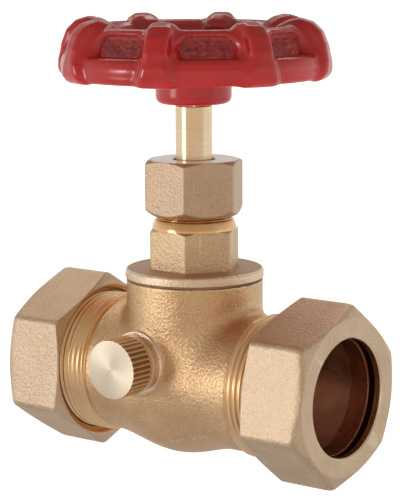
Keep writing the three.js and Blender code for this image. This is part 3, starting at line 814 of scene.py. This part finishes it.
def bonnet():
    low, high = box_mm("bonnet")
    flange_bottom = box_mm("bonnet_gasket")[1][2] + 0.05
    flange_top = flange_bottom + FLANGE_THICKNESS
    hex_top = flange_top + BONNET_HEX["height"]
    core = bonnet_core(low, high, flange_bottom, flange_top, hex_top)
    angles, radius = hexagon(BONNET_HEX["flats"], BONNET_HEX["edge"], HEX_TURN)
    inside, land = BONNET_HEX["inside"], BONNET_HEX["land"]
    drop = np.maximum(radius - land, 0) * 0.5
    rows = [
        (inside, flange_top - 0.6),
        (radius, flange_top - 0.6),
        (radius, hex_top - drop - 0.01, 0.3),
        (np.minimum(radius, land) - 0.02, hex_top, 0.12),
        (inside, hex_top),
    ]
    joined(core, [turned("bonnet_hex", rows, angles)])
    settle(
        core,
        "bonnet",
        forged_brass("forged_brass_bonnet", (0.92, 0.72, 0.47), (0.55, 0.38, 0.22), 1.2),
        # Turned brass for the collar and threads, darkened to a deep orange as painted shade for the dim
        # reflection in the collar's middle.
        turned_brass("shaded_turned_brass_collar", 2, (0.90, 0.60, 0.32), (0.70, 0.42, 0.20), 0.16),
        # Painted shade: a darker copy of the forged brass for the flange's upward face.
        forged_brass("shaded_forged_brass_flange_top", (0.63, 0.44, 0.30), (0.34, 0.23, 0.15), 1.6),
        # Painted highlight: a brighter, paler copy of the forged brass for the flange's rim.
        forged_brass("highlit_forged_brass_flange_rim", (1.0, 0.85, 0.64), (0.76, 0.58, 0.40), 1.5, 0.36),
    )

    def collar_and_neck(c, n):
        return (c[2] > hex_top - 0.4) & (n[2] > -0.95) & (about_z_axis(c) < COLLAR_RADIUS + 0.02)

    def flange_rim(c, n):
        return (c[2] > flange_bottom) & (c[2] < flange_top - 0.1) & (about_z_axis(c) > SPIGOT_RADIUS + 0.15)

    # The collar, neck and threads get the darkened turned brass: painted shade.
    paint(core, 1, collar_and_neck)
    paint(core, 1, lambda c, n: c[2] < flange_bottom - 0.01)
    # Painted shade on the flange's upward face.
    paint(core, 2, lambda c, n: (np.abs(c[2] - flange_top) < 0.1) & (n[2] > 0.9))
    # Painted highlight on the flange's rim.
    paint(core, 3, flange_rim)


def ring_piece(node, material, inner, ease, steps=96):
    """A flat ring that fills a CAD ring node about Z, with eased edges."""
    low, high = box_mm(node)
    centre = (low + high) / 2
    outer = (high[0] - low[0]) / 2
    rows = [(inner, low[2], ease), (outer, low[2], ease), (outer, high[2], ease), (inner, high[2], ease)]
    ring = turned(node + "_detail", rows, around(steps), shift=(centre[0], centre[1], 0))
    settle(ring, node, material)


GLAND_HEX = {"flats": 22.0, "edge": 0.8, "top_land": 11.0, "bottom_land": 10.5}
GLAND_CEILING = 49.5
GLAND_HOLE = 5.3


def gland_nut():
    low, high = box_mm("gland_nut")
    angles, radius = hexagon(GLAND_HEX["flats"], GLAND_HEX["edge"], HEX_TURN)
    top_land, bottom_land = GLAND_HEX["top_land"], GLAND_HEX["bottom_land"]
    top_drop = np.maximum(radius - top_land, 0) * 0.5
    bottom_rise = np.maximum(radius - bottom_land, 0) * 0.75
    thread = (low[2] + 0.6, GLAND_CEILING - 0.8, GLAND_NECK + 1.0, 0.6, GLAND_PITCH, 0.3)
    rows = [
        (GLAND_NECK + 0.75, low[2], 0.15),
        (GLAND_NECK + 0.4, low[2] + 0.45),
        *thread_rows(angles, *thread, rows_per_pitch=8),
        (GLAND_NECK + 0.8, GLAND_CEILING, 0.3),
        (GLAND_HOLE, GLAND_CEILING, 0.2),
        (GLAND_HOLE, high[2], 0.35),
        (top_land - 0.2, high[2], 0.2),
        (radius, high[2] - top_drop, 0.3),
        (radius, low[2] + bottom_rise, 0.4),
        (bottom_land - 0.1, low[2], 0.1),
    ]
    nut = turned("gland_nut_detail", rows, angles)
    settle(
        nut,
        "gland_nut",
        forged_brass("forged_brass_gland", (0.80, 0.62, 0.45), (0.52, 0.37, 0.24), 1.2),
        turned_brass("turned_face_gland", 2, (0.95, 0.94, 0.94), (0.84, 0.82, 0.81), 0.3),
        turned_brass("turned_brass_gland_bore", 2),
        forged_brass("forged_brass_gland_chamfer", (0.80, 0.66, 0.50), (0.55, 0.42, 0.30), rough=0.7),
    )
    top = high[2]
    paint(nut, 3, lambda c, n: (n[2] > 0.3) & (n[2] < 0.97) & (c[2] > top - 1.2))
    paint(nut, 2, lambda c, n: about_z_axis(c) < GLAND_NECK + 1.1)
    paint(nut, 1, lambda c, n: (n[2] > 0.9) & (c[2] > top - 0.2))


# ---- spindle and jumper

STEM_RADIUS = 4.5
SCREW_RADIUS, SCREW_NOSE = 6.5, 5.4
SCREW_START, SCREW_TOP = 19.0, 33.8
SOCKET = {"radius": 2.9, "top": 26.0}  # the jumper's stem goes in here
POCKET = {"radius": 4.2, "top": 18.6}  # and its clip in here
SQUARE_FLATS = 6.4
STUD_RADIUS = 2.9


def spindle():
    low, high = box_mm("spindle")
    washer = box_mm("handwheel_washer")[0][2]
    square_start = box_mm("handwheel")[0][2] - 0.4
    square_end = washer - 0.2
    angles = around(96)
    screw = (SCREW_START, SCREW_TOP - 1.4, SCREW_RADIUS, 0.9, 2.0, 0.6)
    rows = [
        (0.0, low[2]),
        (SCREW_NOSE, low[2], 0.2),
        (SCREW_NOSE, SCREW_START - 0.5),
        *thread_rows(angles, *screw, rows_per_pitch=12),
        (SCREW_RADIUS - 0.9, SCREW_TOP - 1.0),
        (SCREW_RADIUS - 0.9, SCREW_TOP - 0.6),
        (SCREW_RADIUS, SCREW_TOP - 0.5, 0.1),
        (SCREW_RADIUS, SCREW_TOP, 0.2),
        (STEM_RADIUS, SCREW_TOP, 0.3),
        (STEM_RADIUS, square_start, 0.3),
        (0.0, square_start),
    ]
    shaft = turned("spindle_detail", rows, angles)
    below = low[2] - 1
    rows = [
        (0.0, below),
        (POCKET["radius"], below),
        (POCKET["radius"], POCKET["top"]),
        (SOCKET["radius"], POCKET["top"]),
        (SOCKET["radius"], SOCKET["top"], 0.3),
        (0.0, SOCKET["top"]),
    ]
    joined(shaft, [turned("socket", rows, around(64))], "DIFFERENCE")

    angles, radius = square(SQUARE_FLATS, 0.5)
    rows = [
        (0.0, square_start - 0.6),
        (radius - 0.5, square_start - 0.6),
        (radius, square_start - 0.1),
        (radius, square_end, 0.2),
        (0.0, square_end),
    ]
    seat = turned("square", rows, angles)
    angles = around(72)
    rows = [(0.0, washer - 1), (STUD_RADIUS - 0.6, washer - 1)]
    rows += thread_rows(angles, washer - 0.4, high[2] - 0.5, STUD_RADIUS, 0.5, 1.0, 0.3, 12)
    rows += [(STUD_RADIUS - 0.7, high[2], 0.2), (0.0, high[2])]
    joined(shaft, [seat, turned("stud", rows, angles)])
    finish = turned_brass("turned_brass_spindle", 2, (0.93, 0.77, 0.55), (0.76, 0.56, 0.35), 0.17)
    settle(shaft, "spindle", finish)


def square(flats, edge_radius):
    """Angles and radii of a square with rounded edges and its corners at 45 degrees."""
    angles = around(96)
    off = (angles + math.pi / 4) % (math.pi / 2) - math.pi / 4
    radius = flats / 2 / np.cos(off)
    return angles, np.minimum(radius, flats / math.sqrt(2) - edge_radius * 0.6)


def jumper():
    low, high = box_mm("jumper")
    clip_low, clip_high = box_mm("jumper_clip")
    disc_bottom = box_mm("jumper_washer")[1][2] + 0.1
    disc_top = disc_bottom + 2.9
    disc, stem, groove, stud = (high[0] - low[0]) / 2, 2.6, 2.0, 2.4
    rows = [
        (0, low[2]),
        (stud - 0.4, low[2], 0.1),
        (stud, low[2] + 0.5, 0.1),
        (stud, disc_bottom),
        (disc, disc_bottom, 0.2),
        (disc, disc_top, 0.5),
        (stem + 1.2, disc_top, 0.6),
        (stem, disc_top + 1.0, 0.5),
        (stem, clip_low[2] - 0.2),
        (groove, clip_low[2] - 0.2),
        (groove, clip_high[2] + 0.2),
        (stem, clip_high[2] + 0.2),
        (stem, high[2], 0.5),
        (0, high[2]),
    ]
    piece = turned("jumper_detail", rows, around(96))
    settle(piece, "jumper", turned_brass("turned_brass_jumper", 2))


def jumper_clip():
    """A spring ring with a gap, in the jumper's groove."""
    low, high = box_mm("jumper_clip")
    inner, outer, half_gap = 2.3, 3.9, 0.55
    rows = [(inner, low[2], 0.2), (outer, low[2], 0.2), (outer, high[2], 0.2), (inner, high[2], 0.2)]
    angles = np.linspace(half_gap, 2 * math.pi - half_gap, 72)
    steel = plain_metal("spring_steel", (0.6, 0.6, 0.58), (0.4, 0.4, 0.39), 0.3)
    settle(turned("jumper_clip_detail", rows, angles, arc=True), "jumper_clip", steel)


def small_nut(node, flats, hole, pitch, material):
    """A hexagon nut about Z with chamfered corners and a threaded hole."""
    low, high = box_mm(node)
    angles, radius = hexagon(flats, 0.25, 30, 6, 6)
    face = flats / 2 - 0.15
    drop = (radius - face) * 0.6
    rows = [
        (hole + 0.5, low[2], 0.1),
        (hole, low[2] + 0.5),
        *thread_rows(angles, low[2] + 0.6, high[2] - 0.6, hole + 0.3, 0.3, pitch, 0.3, 8),
        (hole, high[2] - 0.5),
        (hole + 0.5, high[2], 0.1),
        (face, high[2], 0.08),
        (radius, high[2] - drop, 0.12),
        (radius, low[2] + drop, 0.12),
        (face, low[2], 0.08),
    ]
    settle(turned(node + "_detail", rows, angles), node, material)


# ---- handwheel

GRIPS = 8
FIRST_GRIP = math.radians(22.5)
HUB = {"radius": 9.3, "middle": 73.1, "half_height": 6.0}
SQUARE_HOLE = 3.3  # half its width
MACHINED_TOP = 79.0
SHELL_PATH = ((9.0, 77.9), (16.4, 78.0), (19.6, 79.0), (22.2, 82.2), (23.8, 84.2), (25.6, 84.9))
WALL_PATH = ((25.4, 84.5), (26.8, 83.9), (28.2, 81.8), (29.6, 79.2), (30.4, 77.0))
BAND_PATH = ((30.1, 78.6), (30.55, 75.0))
GRIP_PATH = (
    (22.6, 84.6),
    (24.4, 85.5),
    (26.4, 85.9),
    (28.4, 85.3),
    (30.1, 83.7),
    (31.25, 80.8),
    (31.75, 77.6),
    (31.75, 76.2),
)
GRIP_FOOT = ((31.7, 77.5), (31.2, 75.3))
SHELL_HALF, WALL_HALF, BAND_HALF = 1.1, 1.55, 1.5  # half the metal's thickness about each path
RIDGE_HALF, FOOT_HALF = 2.15, 1.75
WINDOW = {"half_width": 8.7, "middle": 82.3, "half_height": 2.4, "corner": 2.35, "narrowing": 0.8}


def wheel_skin(radius, z):
    """The dish, its outer wall and the band round the foot of the wall."""
    shell = path_distance(radius, z, SHELL_PATH) - SHELL_HALF
    wall = path_distance(radius, z, WALL_PATH) - WALL_HALF
    band = path_distance(radius, z, BAND_PATH) - BAND_HALF
    return soft_min(soft_min(shell, wall, 1.0), band, 1.2)


def wheel_window(out, side, z):
    """A window through the wall, which narrows on its way in."""
    half_width = WINDOW["half_width"] - WINDOW["narrowing"] * np.clip(30.0 - out, 0, 3.2)
    corner = WINDOW["corner"]
    across = side - half_width + corner
    up = np.abs(z - WINDOW["middle"]) - WINDOW["half_height"] + corner
    slot = np.hypot(np.maximum(across, 0), np.maximum(up, 0))
    slot = slot + np.minimum(np.maximum(across, up), 0) - corner
    return np.maximum(slot, 26.0 - out)


def wheel_knuckle(out, side, z):
    """A knuckle of the grip, which spreads towards its foot."""
    width = 3.05 + 1.6 * np.clip((80.5 - z) / 6.5, 0, 1) ** 1.4
    ridge = path_distance(out, z, GRIP_PATH) - RIDGE_HALF
    foot = path_distance(out, z, GRIP_FOOT) - FOOT_HALF
    return soft_max(soft_min(ridge, foot, 1.0), side - width, 2.0)


def wheel_distance(x, y, z):
    """The whole wheel: skin, windows, knuckles and hub, with its top turned flat and a square hole."""
    radius = np.hypot(x, y)
    pitch = 2 * math.pi / GRIPS
    angle = np.arctan2(y, x) - FIRST_GRIP
    to_grip = angle - np.round(angle / pitch) * pitch
    to_window = angle - (np.floor(angle / pitch) + 0.5) * pitch
    window = wheel_window(radius * np.cos(to_window), np.abs(radius * np.sin(to_window)), z)
    knuckle = wheel_knuckle(radius * np.cos(to_grip), np.abs(radius * np.sin(to_grip)), z)
    skin = soft_max(wheel_skin(radius, z), -window, 1.6)
    skin = soft_min(skin, knuckle, 1.8)
    hub = soft_max(radius - HUB["radius"], np.abs(z - HUB["middle"]) - HUB["half_height"], 2.2)
    skin = soft_min(skin, hub, 2.2)
    machined_top = z - MACHINED_TOP - np.clip((radius - 12.0) * 2, 0, 40)
    skin = soft_max(skin, machined_top, 0.3)
    hole = np.maximum(np.abs(x), np.abs(y)) - SQUARE_HOLE
    return soft_max(skin, -hole, 0.3)


def handwheel():
    low, high = box_mm("handwheel")
    margin = 1.0
    points, faces = surface(wheel_distance, low - margin, high + margin, CELL)
    wheel = new_piece("handwheel_detail", points, faces, 60)
    settle(wheel, "handwheel", red_enamel("red_enamel"))


# ---- compression joints and drain

INLET_CORNER = 49.9
OUTLET_CORNER = 2.7
NUT_FLATS = 39.1
NUT_EDGE = 2.1
NUT_FACE = 18.9
LIP_RADIUS = 14.2
LIP_THICKNESS = 3.0


def along_run(node, towards):
    """Where a node on the run starts, as a shift from the middle of the body, and its length."""
    low, high = box_mm(node)
    start = low[0] if towards == "+X" else high[0]
    return (start, 0, 0), high[0] - low[0]


def compression_nut(node, towards, corner_angle):
    shift, length = along_run(node, towards)
    angles, radius = hexagon(NUT_FLATS, NUT_EDGE, corner_angle, 10, 12)
    lip = length - LIP_THICKNESS
    past_flats = radius - NUT_FLATS / 2
    root = THREAD_RADIUS + 0.15
    chamber = 16.9
    rows = [
        (root + 1.35, 0.2, 0.12),
        (root, 1.4, 0.2),
        *thread_rows(angles, 1.9, 10.0, root + 0.75, 0.75, THREAD_PITCH, 0.5, 10),
        (chamber, 10.4, 0.2),
        (chamber, lip - 2, 0.2),
        (LIP_RADIUS + 1.3, lip + 0.2, 0.2),
        (LIP_RADIUS, lip + 1.1, 0.15),
        (LIP_RADIUS, length - 0.4, 0.1),
        (LIP_RADIUS + 0.4, length, 0.1),
        (NUT_FACE, length, 0.3),
        (radius - 0.35, length - 0.35 - past_flats * 0.35, 1.1),
        (radius, length - 1.7 - past_flats * 0.4, 1.0),
        (radius, 0.3 + past_flats * 0.3, 0.35),
        (NUT_FACE + 0.45, 0.0, 0.15),
    ]
    nut = turned(node + "_detail", rows, angles, towards, shift, segments=5)
    side = node.split("_")[0]
    settle(
        nut,
        node,
        forged_brass("forged_brass_" + side + "_nut", (0.88, 0.71, 0.52), (0.55, 0.40, 0.27), 1.1),
        turned_brass("turned_brass_" + side + "_nut", 0, (0.86, 0.62, 0.36), (0.55, 0.35, 0.18)),
        # Paler turned brass for the chamfer round the nut's hole: a real turned edge, brightened as a
        # painted highlight.
        turned_brass("turned_highlit_edge_" + side + "_nut", 0, (0.96, 0.82, 0.62), (0.84, 0.66, 0.46)),
    )
    end_face = abs(shift[0]) + length - 0.5
    paint(nut, 1, lambda c, n: (about_x_axis(c) < NUT_FACE + 0.3) & (np.abs(c[0]) < end_face))
    paint(nut, 1, lambda c, n: (about_x_axis(c) < LIP_RADIUS + 0.1) & (np.abs(n[0]) < 0.5))
    # Painted highlight: the hole's chamfer gets the paler turned brass.
    paint(nut, 2, lambda c, n: (about_x_axis(c) < LIP_RADIUS + 0.42) & (np.abs(c[0]) > end_face + 0.05))


def olive(node, towards):
    """The copper ring that the nut squeezes onto the tube, tapered at both ends."""
    shift, width = along_run(node, towards)
    low, high = box_mm(node)
    crown = (high[2] - low[2]) / 2
    taper, end = 1.5, SOCKET_RADIUS + 0.75
    rows = [
        (SOCKET_RADIUS, 0, 0.03),
        (end, 0, 0.3),
        (crown, taper, 0.8),
        (crown, width - taper, 0.8),
        (end, width, 0.3),
        (SOCKET_RADIUS, width, 0.2),
    ]
    piece = turned(node + "_detail", rows, around(128), towards, shift, segments=6)
    settle(piece, node, plain_metal("copper_" + node, (0.66, 0.36, 0.23), (0.42, 0.21, 0.13), 0.32, axis=0))


KNURL = {"teeth": 34, "depth": 0.55, "steps": 12}
SHANK_RADIUS = 3.3


def drain_plug():
    low, high = box_mm("drain_plug")
    seal_low, seal_high = box_mm("drain_seal")
    head = (high[0] - low[0]) / 2
    front, back, shank_end = -low[1], -seal_low[1] + 0.1, -high[1]
    teeth = KNURL["teeth"]
    angles = around(teeth * KNURL["steps"])
    wave = np.abs(((angles * teeth / (2 * math.pi)) % 1.0) * 2 - 1)
    tooth = head - KNURL["depth"] * np.clip(1.3 - 1.5 * wave, 0, 1)
    thread = (shank_end + 0.6, -seal_high[1] - 0.2, SHANK_RADIUS, 0.5, 1.0, 0.3)
    rows = [
        (0.0, shank_end),
        (SHANK_RADIUS - 0.7, shank_end, 0.2),
        *thread_rows(angles, *thread, rows_per_pitch=10),
        (SHANK_RADIUS - 0.5, back - 0.35),
        (SHANK_RADIUS - 0.5, back),
        (head - 0.15, back, 0.15),
        (head, back + 0.7, 0.2),
        (head - 0.6, back + 0.85, 0.12),
        (head - 0.6, back + 1.05, 0.1),
        (np.minimum(tooth, head - 0.35), back + 1.15),
        (tooth, back + 1.4),
        (tooth, front - 0.3),
        (np.minimum(tooth, head - 0.05), front - 0.1),
        (head - 0.15, front, 0.04),
        (0.0, front),
    ]
    spot = ((low[0] + high[0]) / 2, 0, (low[2] + high[2]) / 2)
    plug = turned("drain_plug_detail", rows, angles, "-Y", spot, smooth=24)
    settle(
        plug,
        "drain_plug",
        turned_brass("turned_brass_plug", 1, (0.96, 0.78, 0.58), (0.70, 0.52, 0.34), 0.27, spot),
        faced_brass("turned_face_plug", spot, (0.84, 0.74, 0.60), (0.72, 0.62, 0.48)),
        # Painted shade: dark brass for the roots of the knurl.
        turned_brass("shaded_knurl_roots", 1, (0.50, 0.34, 0.21), (0.32, 0.21, 0.12), 0.4, spot),
    )
    root = head - 0.6 * KNURL["depth"]

    def knurl_roots(c, n):
        about_plug = np.hypot(c[0] - spot[0], c[2] - spot[2])
        return (c[1] > -front + 0.2) & (c[1] < -back - 1.2) & (about_plug < root)

    # Painted shade in the knurl's grooves.
    paint(plug, 2, knurl_roots)
    paint(plug, 1, lambda c, n: (n[1] < -0.9) & (c[1] < -front + 0.1))


def drain_seal():
    low, high = box_mm("drain_seal")
    inner, outer = DRAIN_HOLE, (high[0] - low[0]) / 2
    rows = [(inner, -high[1], 0.2), (outer, -high[1], 0.3), (outer, -low[1], 0.3), (inner, -low[1], 0.2)]
    spot = ((low[0] + high[0]) / 2, 0, (low[2] + high[2]) / 2)
    piece = turned("drain_seal_detail", rows, around(96), "-Y", spot)
    copper = plain_metal("copper_seal", (0.95, 0.74, 0.61), (0.74, 0.50, 0.38), 0.26, 1, spot)
    settle(piece, "drain_seal", copper)


# ---- the assembly


def build_valve():
    fibre = soft_matter("fibre_gasket", (0.32, 0.18, 0.10), (0.18, 0.09, 0.05), 0.8, 900, 4e-5)
    graphite = soft_matter("graphite_packing", (0.10, 0.10, 0.105), (0.04, 0.04, 0.045), 0.5, 700, 8e-5)
    rubber = soft_matter("rubber_washer", (0.045, 0.045, 0.045), (0.02, 0.02, 0.02), 0.7, 1200, 3e-5)
    zinc = plain_metal("zinc_steel", (0.62, 0.61, 0.58), (0.42, 0.41, 0.39), 0.34)
    brass = turned_brass("turned_brass_small", 2)
    body_casting()
    ring_piece("bonnet_gasket", fibre, 14.15, 0.12, steps=160)
    bonnet()
    ring_piece("gland_packing", graphite, 4.8, 0.5)
    ring_piece("gland_follower", brass, 4.85, 0.25)
    gland_nut()
    spindle()
    jumper()
    jumper_clip()
    ring_piece("jumper_washer", rubber, 2.6, 0.5)
    small_nut("jumper_washer_nut", 8.0, 2.6, 0.8, brass)
    handwheel()
    ring_piece("handwheel_washer", zinc, 3.2, 0.2)
    small_nut("handwheel_nut", 10.0, 3.05, 1.0, zinc)
    compression_nut("inlet_compression_nut", "+X", INLET_CORNER)
    compression_nut("outlet_compression_nut", "-X", OUTLET_CORNER)
    olive("inlet_olive", "+X")
    olive("outlet_olive", "-X")
    drain_seal()
    drain_plug()


# ---- camera, floor and light

VIEW_POINT = Vector((0.30818, -0.38991, 0.11238))
VIEW_DIRECTION = Vector((-0.60886, 0.77662, -0.16171))
VIEW_ROLL = -0.2754  # degrees
VIEW_LENS = 147.4
CAMERA_AZIMUTH = -51.9  # where the camera is, in degrees from +X
LIT_POINT = Vector((0, 0, 0.03))


def camera():
    """The photo's viewpoint, solved from the outlines of the nuts, bore, flange, stem, hub and wheel."""
    data = bpy.data.cameras.new("camera")
    data.sensor_width = 36.0
    data.lens = VIEW_LENS
    data.clip_start, data.clip_end = 0.01, 20.0
    eye = bpy.data.objects.new("camera", data)
    bpy.context.collection.objects.link(eye)
    forward = VIEW_DIRECTION.normalized()
    roll = math.radians(VIEW_ROLL)
    right = forward.cross(Vector((0, 0, 1))).normalized()
    up = right.cross(forward)
    tilted_right = right * math.cos(roll) + up * math.sin(roll)
    tilted_up = up * math.cos(roll) - right * math.sin(roll)
    turn = Matrix((tilted_right, tilted_up, -forward)).transposed()
    eye.matrix_world = Matrix.Translation(VIEW_POINT) @ turn.to_4x4()
    bpy.context.scene.camera = eye


def floor():
    """A white sheet under the valve, that fills the picture's background."""
    low = CAD_BOX[0][2]
    reach = 6.0
    corners = [(-reach, -reach, low), (reach, -reach, low), (reach, reach, low), (-reach, reach, low)]
    mesh = bpy.data.meshes.new("floor")
    mesh.from_pydata(corners, [], [(0, 1, 2, 3)])
    plane = bpy.data.objects.new("floor", mesh)
    bpy.context.collection.objects.link(plane)
    white = (1.0, 1.0, 1.0, 1.0)
    n = Surface("floor", Base_Color=white, Roughness=0.8, Emission_Color=white, Emission_Strength=0.85)
    plane.data.materials.append(n.material)
    plane.visible_glossy = False


def softbox(name, azimuth, elevation, width, height, radiance):
    """A rectangular lamp, a metre away. Azimuth is from the camera's side, positive to the right."""
    data = bpy.data.lights.new(name, "AREA")
    data.shape = "RECTANGLE"
    data.size, data.size_y = width, height
    data.energy = radiance * math.pi * width * height
    lamp = bpy.data.objects.new(name, data)
    bpy.context.collection.objects.link(lamp)
    angle = math.radians(CAMERA_AZIMUTH + azimuth)
    rise = math.radians(elevation)
    out = Vector((math.cos(angle) * math.cos(rise), math.sin(angle) * math.cos(rise), math.sin(rise)))
    lamp.location = LIT_POINT + out
    lamp.rotation_euler = (LIT_POINT - lamp.location).to_track_quat("-Z", "Y").to_euler()


# Radiance of the studio by height of direction: the dim side that the camera looks out of, and the tent
DIM_SIDE = (
    (-1.0, (0.40, 0.34, 0.31)),
    (-0.3, (0.50, 0.43, 0.38)),
    (0.0, (0.82, 0.70, 0.60)),
    (0.3, (0.52, 0.44, 0.37)),
    (1.0, (0.34, 0.27, 0.20)),
)
TENT = (
    (-1.0, (0.46, 0.42, 0.40)),
    (-0.3, (0.66, 0.63, 0.60)),
    (0.0, (0.96, 0.94, 0.92)),
    (0.15, (0.80, 0.76, 0.73)),
    (0.38, (0.52, 0.46, 0.41)),
    (1.0, (0.35, 0.28, 0.21)),
)
DIM_CONE = (0.56, 0.36)  # cosines from the camera's side between which the dim side turns into the tent


def sky_ramp(n, height, stops):
    """Colours by height of direction, from straight down to straight up."""
    ramp = n.add("ShaderNodeValToRGB", {"Fac": height})
    elements = ramp.color_ramp.elements
    while len(elements) < len(stops):
        elements.new(0.5)
    for element, (z, colour) in zip(elements, stops):
        element.position = (z + 1) / 2
        element.color = (*colour, 1.0)
    return ramp.outputs["Color"]


def tent():
    """A white tent all round, dimmer in a wide cone round the camera's side."""
    world = bpy.data.worlds.new("studio")
    bpy.context.scene.world = world
    world.use_nodes = True
    n = Nodes(world.node_tree)
    direction = n.add("ShaderNodeTexCoord").outputs["Generated"]
    split = n.add("ShaderNodeSeparateXYZ", {0: direction})
    height = n.spread(split.outputs[2], -1.0, 1.0)
    front = math.radians(CAMERA_AZIMUTH)
    aim = {0: direction, 1: (math.cos(front), math.sin(front), 0.0)}
    towards = n.add("ShaderNodeVectorMath", aim, operation="DOT_PRODUCT").outputs["Value"]
    cone = {"Value": towards, "From Min": DIM_CONE[0], "From Max": DIM_CONE[1]}
    share = n.add("ShaderNodeMapRange", cone, interpolation_type="SMOOTHSTEP").outputs["Result"]
    sky = n.blend(share, sky_ramp(n, height, DIM_SIDE), sky_ramp(n, height, TENT))
    n.tree.links.new(sky, n.tree.nodes["Background"].inputs["Color"])


def studio():
    softbox("key", -65, 2, 0.30, 0.36, 2.9)
    softbox("glint", -62, 3, 0.14, 0.16, 9.0)
    softbox("back_strip", 180, 50, 1.2, 0.10, 3.5)
    tent()
    bpy.context.scene.view_settings.view_transform = "Standard"


build_valve()
camera()
floor()
studio()
